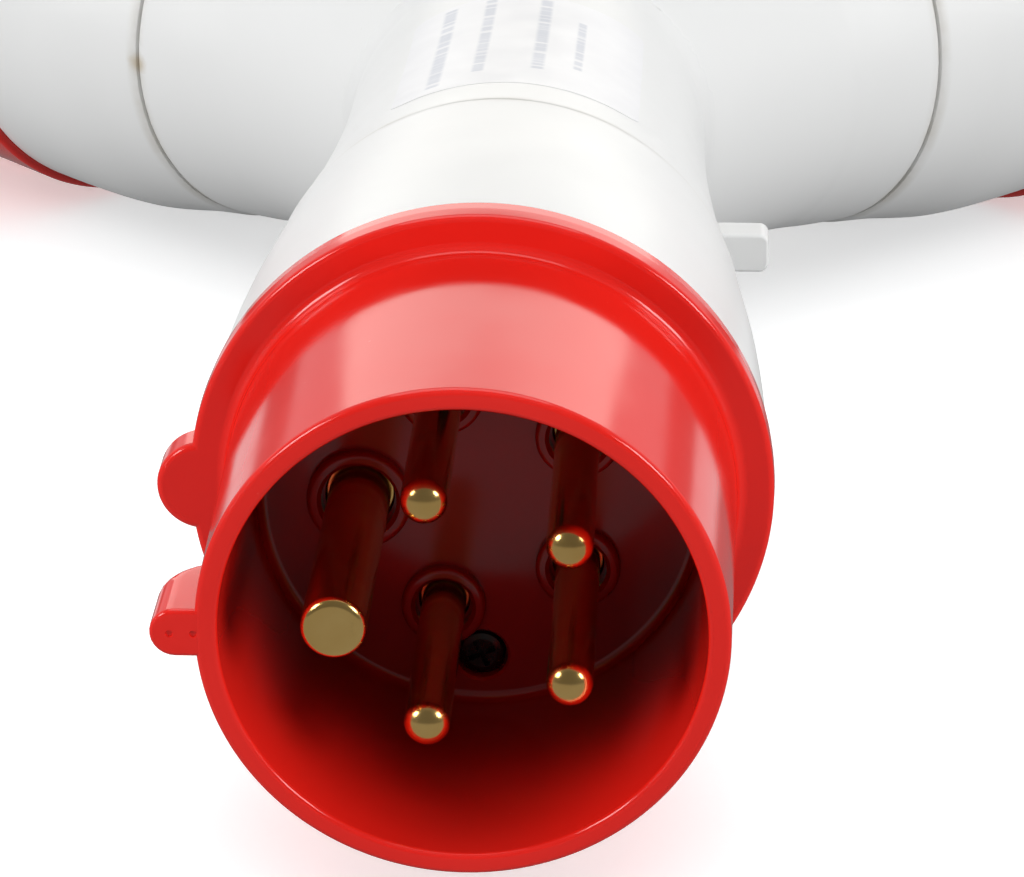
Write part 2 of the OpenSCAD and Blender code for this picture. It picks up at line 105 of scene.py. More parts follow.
# ------------------------------------------------------------------ mesh tools
def rounded(pts, seg=5):
    """An outline whose corners (r, z, radius) are turned into arcs."""
    out = []
    n = len(pts)
    for i in range(n):
        p = np.array(pts[i][:2], float)
        rad = pts[i][2] if len(pts[i]) > 2 else 0
        a = np.array(pts[i - 1][:2], float) - p
        b = np.array(pts[(i + 1) % n][:2], float) - p
        la, lb = np.linalg.norm(a), np.linalg.norm(b)
        if rad <= 0 or la < 1e-9 or lb < 1e-9:
            out.append((float(p[0]), float(p[1])))
            continue
        a, b = a / la, b / lb
        ang = math.acos(max(-1, min(1, float(a @ b))))
        if ang > math.pi - 0.03 or ang < 0.03:
            out.append((float(p[0]), float(p[1])))
            continue
        t = min(rad / math.tan(ang / 2), 0.48 * la, 0.48 * lb)
        r = t * math.tan(ang / 2)
        bis = (a + b) / np.linalg.norm(a + b)
        c = p + bis * (r / math.sin(ang / 2))
        p0, p1 = p + a * t - c, p + b * t - c
        a0, a1 = math.atan2(p0[1], p0[0]), math.atan2(p1[1], p1[0])
        d = (a1 - a0 + math.pi) % (2 * math.pi) - math.pi
        k = max(2, int(math.ceil(seg * abs(d) / (math.pi / 2))))
        for j in range(k + 1):
            th = a0 + d * j / k
            out.append((float(c[0] + r * math.cos(th)), float(c[1] + r * math.sin(th))))
    return out


def densify(prof, step):
    out = []
    n = len(prof)
    for i in range(n):
        a, b = np.array(prof[i][:2]), np.array(prof[(i + 1) % n][:2])
        k = max(1, int(math.ceil(np.linalg.norm(b - a) / step)))
        for j in range(k):
            out.append(tuple(a + (b - a) * j / k))
    return out


def revolve(prof, n=128, centre=(0, 0)):
    """A closed solid from a closed outline of (r, z), turned about z."""
    th = np.arange(n) * 2 * math.pi / n
    cs, sn = np.cos(th), np.sin(th)
    verts, rings = [], []
    for r, z in [(max(p[0], 0.0), p[1]) for p in prof]:
        if r < 1e-6:
            rings.append([len(verts)] * n)
            verts.append((centre[0], centre[1], z))
        else:
            rings.append(list(range(len(verts), len(verts) + n)))
            verts.extend(zip(centre[0] + r * cs, centre[1] + r * sn, [z] * n))
    faces = []
    m = len(prof)
    for i in range(m):
        a, b = rings[i], rings[(i + 1) % m]
        pa, pb = a[0] == a[1], b[0] == b[1]
        if pa and pb:
            continue
        for j in range(n):
            k = (j + 1) % n
            if pa:
                faces.append((a[0], b[k], b[j]))
            elif pb:
                faces.append((a[j], a[k], b[0]))
            else:
                faces.append((a[j], a[k], b[k], b[j]))
    return np.array(verts, float), faces


def loft(sections):
    """A closed solid through sections of equal point counts, capped at both ends."""
    k, n = len(sections), len(sections[0])
    verts = np.array([p for s in sections for p in s], float)
    faces = [tuple(range(n))[::-1], tuple(range((k - 1) * n, k * n))]
    for i in range(k - 1):
        for j in range(n):
            q = (j + 1) % n
            faces.append((i * n + j, i * n + q, (i + 1) * n + q, (i + 1) * n + j))
    return verts, faces


def prism(outline, z0, z1, r0=0.0, r1=0.0, seg=3):
    """An outline of (x, y) extruded from z0 to z1, its end edges rounded by r0 and r1. The outline is convex."""
    o = np.array([p[:2] for p in outline], float)
    c = o.mean(0)
    nxt, prv = np.roll(o, -1, 0), np.roll(o, 1, 0)
    t = nxt - prv
    nrm = np.stack([t[:, 1], -t[:, 0]], 1)
    nrm /= np.linalg.norm(nrm, axis=1)[:, None]
    if ((o - c) * nrm).sum() < 0:
        nrm = -nrm
    secs = []

    def at(z, inset):
        q = o - nrm * inset
        secs.append([(x, y, z) for x, y in q])

    if r0 > 0:
        for j in range(seg + 1):
            a = math.pi / 2 * j / seg
            at(z0 + r0 * (1 - math.cos(a)), r0 * (1 - math.sin(a)))
    else:
        at(z0, 0)
    if r1 > 0:
        for j in range(seg + 1):
            a = math.pi / 2 * (1 - j / seg)
            at(z1 - r1 * (1 - math.cos(a)), r1 * (1 - math.sin(a)))
    else:
        at(z1, 0)
    return loft(secs)


def tmp(verts, faces, name="tmp"):
    me = bpy.data.meshes.new(name)
    me.from_pydata([tuple(v) for v in verts], [], [tuple(f) for f in faces])
    bm = bmesh.new()
    bm.from_mesh(me)
    bmesh.ops.remove_doubles(bm, verts=bm.verts, dist=1e-5)
    bmesh.ops.recalc_face_normals(bm, faces=bm.faces)
    bm.to_mesh(me)
    bm.free()
    ob = bpy.data.objects.new(name, me)
    bpy.context.scene.collection.objects.link(ob)
    return ob


def boolean(a, cutters, op="DIFFERENCE"):
    """Applies each cutter to a (all in mm), one after the other, and removes the cutters."""
    for b in cutters:
        ok = False
        for solver in ("MANIFOLD", "EXACT"):
            m = a.modifiers.new("b", "BOOLEAN")
            m.operation, m.object, m.solver = op, b, solver
            dg = bpy.context.evaluated_depsgraph_get()
            dg.update()
            me = bpy.data.meshes.new_from_object(a.evaluated_get(dg))
            a.modifiers.clear()
            if len(me.polygons) > 3:
                old = a.data
                changed = len(me.polygons) != len(old.polygons) or len(me.vertices) != len(old.vertices)
                if changed:
                    a.data = me
                    bpy.data.meshes.remove(old)
                    ok = True
                    break
            bpy.data.meshes.remove(me)
        if not ok:
            print("boolean changed nothing:", a.name, b.name, op)
        bpy.data.objects.remove(b)
    return a


def turned(prof, n=128, centre=(0, 0), seg=5):
    v, f = revolve(rounded(prof, seg), n, centre)
    return tmp(v, f)


def drill(r, z0, z1, centre=(0, 0), n=64):
    v, f = revolve([(0, z0), (r, z0), (r, z1), (0, z1)], n, centre)
    return tmp(v, f, "drill")


def finish_piece(ob, name, place, body, nodes, mat, sharp=32, weighted=True, merge=2e-7):
    me = ob.data
    co = np.zeros(len(me.vertices) * 3)
    me.vertices.foreach_get("co", co)
    co = place(co.reshape(-1, 3)) * 0.001
    me.vertices.foreach_set("co", co.ravel())
    bm = bmesh.new()
    bm.from_mesh(me)
    if merge:
        bmesh.ops.remove_doubles(bm, verts=bm.verts, dist=merge)
    loose = [v for v in bm.verts if not v.link_faces]
    if loose:
        bmesh.ops.delete(bm, geom=loose, context="VERTS")
    bmesh.ops.recalc_face_normals(bm, faces=bm.faces)
    bm.to_mesh(me)
    bm.free()
    me.shade_smooth()
    me.set_sharp_from_angle(angle=math.radians(sharp))
    me.materials.clear()
    me.materials.append(mat)
    ob.name = name
    me.name = name
    if weighted:
        w = ob.modifiers.new("wn", "WEIGHTED_NORMAL")
        w.keep_sharp = True
        w.weight = 50
    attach(ob, body)
    if nodes:
        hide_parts(*nodes)
    return ob


def spline(pts, step=1.0):
    """A smooth open curve through the points (Catmull-Rom), with points about step apart."""
    p = [np.array(q, float) for q in pts]
    p = [2 * p[0] - p[1]] + p + [2 * p[-1] - p[-2]]
    out = []
    for i in range(1, len(p) - 2):
        k = max(2, int(math.ceil(np.linalg.norm(p[i + 1] - p[i]) / step)))
        for j in range(k):
            t = j / k
            a, b, c, d = p[i - 1], p[i], p[i + 1], p[i + 2]
            out.append(tuple(0.5 * (2 * b + (c - a) * t + (2 * a - 5 * b + 4 * c - d) * t * t + (3 * b - a - 3 * c + d) * t ** 3)))
    out.append(tuple(p[-2]))
    return [(float(a), float(b)) for a, b in out]


def arc(cx, cy, r, a0, a1, n):
    return [(cx + r * math.cos(math.radians(a0 + (a1 - a0) * j / n)), cy + r * math.sin(math.radians(a0 + (a1 - a0) * j / n))) for j in range(n + 1)]


# ------------------------------------------------------------------ materials
def new_mat(name):
    m = bpy.data.materials.new(name)
    m.use_nodes = True
    nt = m.node_tree
    bsdf = nt.nodes["Principled BSDF"]
    return m, nt, bsdf


def node(nt, kind, **kw):
    n = nt.nodes.new(kind)
    for k, v in kw.items():
        setattr(n, k, v)
    return n


def noise(nt, coord, scale, detail=3.0, rough=0.5, vec_scale=None):
    if vec_scale is not None:
        mp = node(nt, "ShaderNodeMapping")
        mp.inputs["Scale"].default_value = vec_scale
        nt.links.new(coord, mp.inputs["Vector"])
        coord = mp.outputs["Vector"]
    n = node(nt, "ShaderNodeTexNoise")
    n.inputs["Scale"].default_value = scale
    n.inputs["Detail"].default_value = detail
    n.inputs["Roughness"].default_value = rough
    nt.links.new(coord, n.inputs["Vector"])
    return n.outputs["Fac"]


def ramp(nt, fac, stops):
    r = node(nt, "ShaderNodeValToRGB")
    el = r.color_ramp.elements
    while len(el) > len(stops):
        el.remove(el[-1])
    while len(el) < len(stops):
        el.new(0.5)
    for e, (p, c) in zip(el, stops):
        e.position = p
        e.color = c if len(c) == 4 else (*c, 1)
    nt.links.new(fac, r.inputs["Fac"])
    return r.outputs["Color"]


def mapr(nt, val, a, b, c, d, smooth=False):
    m = node(nt, "ShaderNodeMapRange")
    if smooth:
        m.interpolation_type = "SMOOTHSTEP"
    for k, v in zip(("From Min", "From Max", "To Min", "To Max"), (a, b, c, d)):
        m.inputs[k].default_value = v
    nt.links.new(val, m.inputs["Value"])
    return m.outputs["Result"]


def math_(nt, op, a, b=None, c=None):
    m = node(nt, "ShaderNodeMath", operation=op)
    for i, v in enumerate((a, b, c)):
        if v is None:
            continue
        if isinstance(v, (int, float)):
            m.inputs[i].default_value = v
        else:
            nt.links.new(v, m.inputs[i])
    return m.outputs[0]


def mixc(nt, fac, a, b):
    m = node(nt, "ShaderNodeMix", data_type="RGBA")
    if isinstance(fac, (int, float)):
        m.inputs[0].default_value = fac
    else:
        nt.links.new(fac, m.inputs[0])
    for i, v in ((6, a), (7, b)):
        if isinstance(v, tuple):
            m.inputs[i].default_value = (*v, 1) if len(v) == 3 else v
        else:
            nt.links.new(v, m.inputs[i])
    return m.outputs[2]


def bump(nt, bsdf, layers):
    """layers: (height, strength, distance in metres)"""
    last = None
    for h, s, d in layers:
        b = node(nt, "ShaderNodeBump")
        b.inputs["Strength"].default_value = s
        b.inputs["Distance"].default_value = d
        nt.links.new(h, b.inputs["Height"])
        if last is not None:
            nt.links.new(last, b.inputs["Normal"])
        last = b.outputs["Normal"]
    nt.links.new(last, bsdf.inputs["Normal"])


def coords(nt):
    return node(nt, "ShaderNodeTexCoord").outputs["Object"]


def axis_distance(nt, coord, origin, direction):
    """Distance in metres along a direction from a point, for a seam or a stain that lies at one place along an axis."""
    sub = node(nt, "ShaderNodeVectorMath", operation="SUBTRACT")
    sub.inputs[1].default_value = origin
    nt.links.new(coord, sub.inputs[0])
    dot = node(nt, "ShaderNodeVectorMath", operation="DOT_PRODUCT")
    dot.inputs[1].default_value = direction
    nt.links.new(sub.outputs["Vector"], dot.inputs[0])
    return dot.outputs["Value"]


def plug_radius(nt, coord):
    """Distance in metres from the plug's axis."""
    flat = node(nt, "ShaderNodeVectorMath", operation="MULTIPLY")
    flat.inputs[1].default_value = (1, 0, 1)
    nt.links.new(coord, flat.inputs[0])
    d = node(nt, "ShaderNodeVectorMath", operation="LENGTH")
    nt.links.new(flat.outputs["Vector"], d.inputs[0])
    return d.outputs["Value"]


def point_distance(nt, coord, p):
    d = node(nt, "ShaderNodeVectorMath", operation="DISTANCE")
    d.inputs[1].default_value = p
    nt.links.new(coord, d.inputs[0])
    return d.outputs["Value"]


def scratches(nt, co, seed, scale, thin=0.985):
    """Sparse fine hairlines: a stretched noise, thresholded."""
    mp = node(nt, "ShaderNodeMapping")
    mp.inputs["Location"].default_value = (seed, seed * 0.7, -seed)
    mp.inputs["Rotation"].default_value = (0.4 * seed, 0.9 * seed, 0.3)
    mp.inputs["Scale"].default_value = (1, 14, 14)
    nt.links.new(co, mp.inputs["Vector"])
    n = node(nt, "ShaderNodeTexNoise")
    n.inputs["Scale"].default_value = scale
    n.inputs["Detail"].default_value = 1
    nt.links.new(mp.outputs["Vector"], n.inputs["Vector"])
    return mapr(nt, n.outputs["Fac"], 0.70, 0.74, 0, 1)


def red_plastic():
    m, nt, b = new_mat("red plastic")
    co = coords(nt)
    big = noise(nt, co, 28, 3)
    base = mixc(nt, mapr(nt, big, 0.3, 0.7, 0, 1), (0.63, 0.0110, 0.0065), (0.68, 0.0150, 0.0095))
    dust = mapr(nt, noise(nt, co, 900, 2), 0.76, 0.82, 0, 0.06)
    base = mixc(nt, dust, base, (0.80, 0.40, 0.36))
    # Painted shade: inside the plug's cavity the red is darkened more with depth, and less towards the cavity's top.
    sep = node(nt, "ShaderNodeSeparateXYZ")
    nt.links.new(co, sep.inputs[0])
    inner = mapr(nt, plug_radius(nt, co), 0.0258, 0.0262, 1, 0)
    painted_cavity_shade = math_(nt, "MULTIPLY", mapr(nt, sep.outputs[1], -0.036, -0.009, 0, 0.78, True), inner)
    painted_cavity_shade = math_(nt, "MULTIPLY", painted_cavity_shade, mapr(nt, sep.outputs[2], -0.014, 0.006, 1.0, 0.56, True))
    painted_cavity_shade = math_(nt, "MULTIPLY", painted_cavity_shade, mapr(nt, sep.outputs[1], 0.030, 0.031, 1, 0))
    # Painted shade: the cavity's inside is mixed towards a near-black red.
    base = mixc(nt, painted_cavity_shade, base, (0.085, 0.0012, 0.0014))
    nt.links.new(base, b.inputs["Base Color"])
    nt.links.new(mapr(nt, noise(nt, co, 110, 4, 0.6), 0.3, 0.7, 0.09, 0.16), b.inputs["Roughness"])
    b.inputs["Specular IOR Level"].default_value = 0.5
    b.inputs["Subsurface Weight"].default_value = 0.0
    fine = noise(nt, co, 1500, 3, 0.6)
    wave = noise(nt, co, 45, 2)
    bump(nt, b, [(wave, 0.06, 0.0006), (fine, 0.05, 0.00004), (scratches(nt, co, 3.1, 160), 0.03, 0.00002)])
    return m


# Where the brown stain sits on the left housing's seam (metres).
STAIN = (-0.05985, 0.15658, -0.00018)


def white_plastic(seams=True):
    m, nt, b = new_mat("white plastic")
    co = coords(nt)
    big = noise(nt, co, 22, 3)
    base = mixc(nt, mapr(nt, big, 0.3, 0.7, 0, 1), (0.668, 0.671, 0.667), (0.684, 0.687, 0.683))
    if seams:
        n1 = noise(nt, co, 120, 4, 0.6)
        total = None
        for o, d, s in (((0, 0, 0), (0, 1, 0), SEAM_Y), ((0, HUB_Y / 1000, 0), (S45, S45, 0), SEAM_S), ((0, HUB_Y / 1000, 0), (-S45, S45, 0), SEAM_S)):
            t = axis_distance(nt, co, o, d)
            away = math_(nt, "ABSOLUTE", math_(nt, "SUBTRACT", t, s / 1000))
            w = mapr(nt, away, 0.0002, 0.0021, 0.80, 0, True)
            w = math_(nt, "MULTIPLY", w, mapr(nt, n1, 0.35, 0.62, 0.15, 1))
            total = w if total is None else math_(nt, "MAXIMUM", total, w)
        base = mixc(nt, math_(nt, "MULTIPLY", total, 0.62), base, (0.50, 0.475, 0.42))
        # One small brown stain on the left seam.
        d = point_distance(nt, co, STAIN)
        dn = math_(nt, "ADD", d, math_(nt, "MULTIPLY", math_(nt, "SUBTRACT", noise(nt, co, 420, 3), 0.5), 0.0022))
        base = mixc(nt, mapr(nt, dn, 0.0003, 0.0022, 0.55, 0, True), base, (0.36, 0.26, 0.12))
    specks = mapr(nt, noise(nt, co, 750, 2), 0.76, 0.80, 0, 0.10)
    base = mixc(nt, specks, base, (0.45, 0.42, 0.38))
    nt.links.new(base, b.inputs["Base Color"])
    nt.links.new(mapr(nt, noise(nt, co, 90, 4, 0.6), 0.3, 0.7, 0.29, 0.36), b.inputs["Roughness"])
    b.inputs["Specular IOR Level"].default_value = 0.5
    fine = noise(nt, co, 1300, 3, 0.6)
    wave = noise(nt, co, 38, 2)
    bump(nt, b, [(wave, 0.04, 0.0006), (fine, 0.03, 0.00004), (scratches(nt, co, 5.3, 120), 0.015, 0.00002)])
    return m


def brass(name="brass", worn=1.0):
    m, nt, b = new_mat(name)
    co = coords(nt)
    big = noise(nt, co, 190, 3)
    base = mixc(nt, mapr(nt, big, 0.3, 0.7, 0, 1), (0.82, 0.52, 0.165), (0.91, 0.62, 0.225))
    spots = mapr(nt, noise(nt, co, 620, 3), 0.66, 0.78, 0, 0.3 * worn)
    base = mixc(nt, spots, base, (0.40, 0.24, 0.09))
    nt.links.new(base, b.inputs["Base Color"])
    b.inputs["Metallic"].default_value = 1
    nt.links.new(mapr(nt, noise(nt, co, 420, 4, 0.65), 0.3, 0.7, 0.14, 0.24), b.inputs["Roughness"])
    turn = noise(nt, co, 700, 2, 0.5, (0.4, 3.5, 0.4))
    pit = noise(nt, co, 1700, 3, 0.6)
    bump(nt, b, [(turn, 0.16, 0.00003), (pit, 0.12, 0.00004)])
    return m


def steel(name, dark=False):
    m, nt, b = new_mat(name)
    co = coords(nt)
    big = noise(nt, co, 260, 3)
    a, c = ((0.035, 0.033, 0.034), (0.075, 0.070, 0.070)) if dark else ((0.50, 0.50, 0.51), (0.66, 0.66, 0.67))
    nt.links.new(mixc(nt, mapr(nt, big, 0.3, 0.7, 0, 1), a, c), b.inputs["Base Color"])
    b.inputs["Metallic"].default_value = 1
    nt.links.new(mapr(nt, noise(nt, co, 500, 3), 0.3, 0.7, 0.22, 0.40), b.inputs["Roughness"])
    bump(nt, b, [(noise(nt, co, 900, 3, 0.6, (1, 5, 1)), 0.20, 0.00004)])
    return m


def rubber():
    m, nt, b = new_mat("rubber")
    co = coords(nt)
    nt.links.new(mixc(nt, mapr(nt, noise(nt, co, 80, 4), 0.3, 0.7, 0, 1), (0.012, 0.012, 0.013), (0.030, 0.029, 0.028)), b.inputs["Base Color"])
    nt.links.new(mapr(nt, noise(nt, co, 300, 3), 0.3, 0.7, 0.55, 0.75), b.inputs["Roughness"])
    bump(nt, b, [(noise(nt, co, 1400, 4, 0.6), 0.3, 0.00006)])
    return m


def black_plastic():
    m, nt, b = new_mat("black plastic")
    co = coords(nt)
    nt.links.new(mixc(nt, mapr(nt, noise(nt, co, 60, 3), 0.3, 0.7, 0, 1), (0.016, 0.015, 0.015), (0.026, 0.025, 0.025)), b.inputs["Base Color"])
    nt.links.new(mapr(nt, noise(nt, co, 200, 3), 0.3, 0.7, 0.35, 0.5), b.inputs["Roughness"])
    bump(nt, b, [(noise(nt, co, 1800, 3, 0.6), 0.25, 0.00005)])
    return m


def insulation(name, c, stripe=None):
    m, nt, b = new_mat(name)
    co = coords(nt)
    dark = tuple(v * 0.85 for v in c)
    base = mixc(nt, mapr(nt, noise(nt, co, 120, 3), 0.3, 0.7, 0, 1), dark, c)
    if stripe:
        base = mixc(nt, mapr(nt, noise(nt, co, 260, 0, 0.5, (1, 0.06, 1)), 0.49, 0.51, 0, 1), base, stripe)
    nt.links.new(base, b.inputs["Base Color"])
    nt.links.new(mapr(nt, noise(nt, co, 300, 3), 0.3, 0.7, 0.38, 0.5), b.inputs["Roughness"])
    bump(nt, b, [(noise(nt, co, 900, 3), 0.2, 0.00005)])
    return m


def label_mat():
    """White film with rows of plain grey bars: no lettering."""
    m, nt, b = new_mat("label")
    co = coords(nt)
    sep = node(nt, "ShaderNodeSeparateXYZ")
    nt.links.new(co, sep.inputs[0])
    x, y = sep.outputs[0], sep.outputs[1]
    ink = None
    for cx, half, y0, y1, seed in ((-0.0095, 0.00085, 0.0650, 0.1075, 1), (-0.0040, 0.00075, 0.0690, 0.1075, 2), (0.0035, 0.00080, 0.0705, 0.1075, 3), (0.0085, 0.00055, 0.0745, 0.1000, 4)):
        w = math_(nt, "ABSOLUTE", math_(nt, "SUBTRACT", x, cx))
        row = mapr(nt, w, half * 0.55, half * 1.35, 1, 0, True)
        row = math_(nt, "MULTIPLY", row, mapr(nt, y, y0 - 0.0001, y0 + 0.0001, 0, 1))
        row = math_(nt, "MULTIPLY", row, mapr(nt, y, y1 - 0.0001, y1 + 0.0001, 1, 0))
        # Short dashes of uneven length along the row.
        mp = node(nt, "ShaderNodeMapping")
        mp.inputs["Scale"].default_value = (0, 1, 0)
        mp.inputs["Location"].default_value = (seed * 1.7, 0, seed)
        nt.links.new(co, mp.inputs["Vector"])
        n = node(nt, "ShaderNodeTexNoise")
        n.inputs["Scale"].default_value = 620
        n.inputs["Detail"].default_value = 1
        nt.links.new(mp.outputs["Vector"], n.inputs["Vector"])
        row = math_(nt, "MULTIPLY", row, mapr(nt, n.outputs["Fac"], 0.37, 0.50, 0.22, 1))
        ink = row if ink is None else math_(nt, "MAXIMUM", ink, row)
    base = mixc(nt, mapr(nt, noise(nt, co, 60, 3), 0.3, 0.7, 0, 1), (0.688, 0.688, 0.704), (0.706, 0.706, 0.722))
    base = mixc(nt, math_(nt, "MULTIPLY", ink, 0.62), base, (0.36, 0.39, 0.47))
    nt.links.new(base, b.inputs["Base Color"])
    nt.links.new(mapr(nt, noise(nt, co, 200, 3), 0.3, 0.7, 0.30, 0.42), b.inputs["Roughness"])
    bump(nt, b, [(noise(nt, co, 160, 3), 0.10, 0.00008)])
    return m


RED = red_plastic()
WHITE = white_plastic()
BRASS = brass()
STEEL = steel("steel")
DARK = steel("black steel", dark=True)
RUBBER = rubber()
BLACK = black_plastic()
LABEL = label_mat()
LEADS = {
    "earth": insulation("lead green yellow", (0.10, 0.36, 0.06), (0.80, 0.62, 0.04)),
    "line_1": insulation("lead brown", (0.10, 0.035, 0.012)),
    "line_2": insulation("lead black", (0.012, 0.012, 0.012)),
    "line_3": insulation("lead grey", (0.19, 0.195, 0.20)),
    "neutral": insulation("lead blue", (0.012, 0.08, 0.42)),
}


def cad_mat(name, mat):
    o = NODES[name]
    o.data.materials.clear() if not len(o.data.materials) else None
    if not len(o.data.materials):
        o.data.materials.append(mat)
    for i in range(len(o.data.materials)):
        o.data.materials[i] = mat


# ------------------------------------------------------------------ plug shroud
def slot_outline(inner, out, w, n=14):
    """Straight flanks from x = -inner, round at x = -out."""
    c = -(out - w / 2)
    pts = [(-inner, -w / 2)]
    pts += [(c + w / 2 * math.cos(math.radians(a)), w / 2 * math.sin(math.radians(a))) for a in np.linspace(-90, -270, n)]
    pts.append((-inner, w / 2))
    return pts


def key_rib():
    w, out, z0, z1 = 5.4, 32.75, SLEEVE_LEN - 11.9, SLEEVE_LEN - 0.1
    secs = []
    for j in range(9):
        a = math.pi / 2 * j / 8
        secs.append((z0 + 4.2 * (1 - math.cos(a)), out - 4.2 * (1 - math.sin(a)), w))
    f = 0.55
    for j in range(1, 6):
        a = math.pi / 2 * j / 5
        secs.append((z1 - f * (1 - math.sin(a)), out - f * (1 - math.cos(a)), w - 2 * f * (1 - math.cos(a))))
    secs.insert(9, (z1 - f, out, w))
    return tmp(*loft([[(x, y, z) for x, y in slot_outline(26.9, o, ww)] for z, o, ww in secs]))


def plug_shroud():
    body = turned([
        (0, 2), (25.1, 2, 1.2), (25.6, SLEEVE_LEN, 0.65), (28.0, SLEEVE_LEN, 0.75), (28.8, 0, 1.3),
        (32.95, 0, 0.75), (33.05, -2.4, 0.5), (32.95, -4.7, 0.35), (29.4, -4.7), (29.4, -8), (28, -8), (28, -10.4), (29.4, -10.4),
        (29.4, -14.5, 0.5), (26.4, -14.5, 0.4), (26.4, -4.5), (0, -4.5)], 256, seg=6)
    knob = turned([(0, -4.7), (5.3, -4.7, 0.3), (5.3, 0, 0.8), (0, 0)], 72, (-31.5, 0))
    boolean(body, [key_rib(), knob], "UNION")
    bosses = []
    for i in range(5):
        a = plug_angle(i)
        c = (PIN_CIRCLE * math.cos(a), PIN_CIRCLE * math.sin(a))
        r = 5.9 if i == 0 else 4.8
        bosses.append(turned([(0, 0.8), (r, 0.8), (r, 3.4, 0.6), (0, 3.4)], 64, c))
    boolean(body, bosses, "UNION")
    cut = []
    for i in range(5):
        a = plug_angle(i)
        c = (PIN_CIRCLE * math.cos(a), PIN_CIRCLE * math.sin(a))
        r = EARTH_R if i == 0 else PIN_R
        cut.append(tmp(*revolve([(0, -6), (r + 0.45, -6), (r + 0.45, 1.2), (r + 0.75, 1.2), (r + 0.75, 2.95), (r + 1.25, 3.45), (r + 1.25, 4), (0, 4)], 64, c)))
    for s in (-1, 1):
        cut.append(tmp(*revolve([(0, -6), (1.7, -6), (1.7, -0.6), (3, -0.6), (3, 1.7), (3.35, 2.05), (3.35, 3), (0, 3)], 48, (0, 19.5 * s))))
    for x in (-28.1, -30.6):
        cut.append(tmp(*revolve([(0, SLEEVE_LEN - 0.35), (0.3, SLEEVE_LEN - 0.30), (0.48, SLEEVE_LEN + 0.05), (0.48, SLEEVE_LEN + 1), (0, SLEEVE_LEN + 1)], 20, (x, 0))))
    boolean(body, cut)
    return finish_piece(body, "plug_shroud_shell", on_plug, "body", ["plug_shroud"], RED, sharp=33)


# ------------------------------------------------------------------ pins
def pin(i, name):
    earth = i == 0
    r, top = (EARTH_R, EARTH_REACH) if earth else (PIN_R, PIN_REACH)
    fl = 5.2 if earth else 4.4
    a = plug_angle(i)
    base = [(0, -22), (4, -22, 0.35), (4, -6.5), (fl, -6.5, 0.15), (fl, -4.5), (r + 0.4, -4.5), (r + 0.4, 0.4, 0.25), (r, 0.4)]
    if earth:
        prof = rounded(base + [(r, top, 1.0), (0, top)], 7)
    else:
        prof = rounded(base, 4) + [(r * math.cos(t), top - 2 + 2 * math.sin(t)) for t in np.linspace(0, math.pi / 2, 13)]
        prof[-1] = (0, top)
    ob = tmp(*revolve(prof, 72))
    cross = tmp(*revolve([(0, 0), (1.6, 0), (1.6, 9), (0, 9)], 32))
    cross.data.transform(Matrix.Translation((0, 0, -17)) @ Matrix.Rotation(math.pi / 2, 4, "Y"))
    boolean(ob, [drill(2.6, -23, -12, n=48), cross])
    ob.data.transform(Matrix.Rotation(a, 4, "Z") @ Matrix.Translation((PIN_CIRCLE, 0, 0)))
    finish_piece(ob, name + "_brass", on_plug, "body", [name], BRASS, sharp=35)


# ------------------------------------------------------------------ neck and hub
NECK_CURVE = [(32.4, -5.3), (32.35, -12), (32.1, -21), (31.6, -30), (30.9, -38), (30.25, -45), (29.8, -50.2)]
STEM_CURVE = [(29.5, -51.6), (28.7, -59), (27.8, -66), (26.3, -84), (25.4, -100), (25.0, -118), (25.0, -140)]
ARM_CURVE = [(28.15, 2), (28.5, 32), (29.1, 40), (30.1, 47), (30.8, 53.1)]


def neck():
    prof = rounded([(29.5, -4.7), (32.2, -4.7, 0.2)] + [(r, z) for r, z in spline(NECK_CURVE, 1.2)] + [
        (29.55, -50.8, 0.25), (23.4, -50.8), (23.4, -86, 0.4), (21.2, -86), (21.2, -52), (25.4, -38), (29.2, -22), (29.5, -16)])
    ob = tmp(*revolve(prof, 224))
    cut = tmp(*prism([(20, -2.7), (26, -2.7), (26, 3.0), (20, 3.0)], -82.3, -76.7))
    boolean(ob, [cut])
    finish_piece(ob, "neck_shell", on_plug, "body", ["neck_housing"], WHITE, sharp=35)


def stem_r(y):
    c = np.array(STEM_SPLINE)
    return np.interp(y, -c[:, 1], c[:, 0])


def arm_r(s):
    c = np.array(ARM_SPLINE)
    return np.interp(s, c[:, 1], c[:, 0])


STEM_SPLINE = spline(STEM_CURVE, 0.8)
ARM_SPLINE = spline(ARM_CURVE, 0.8)
BLEND = 3.2


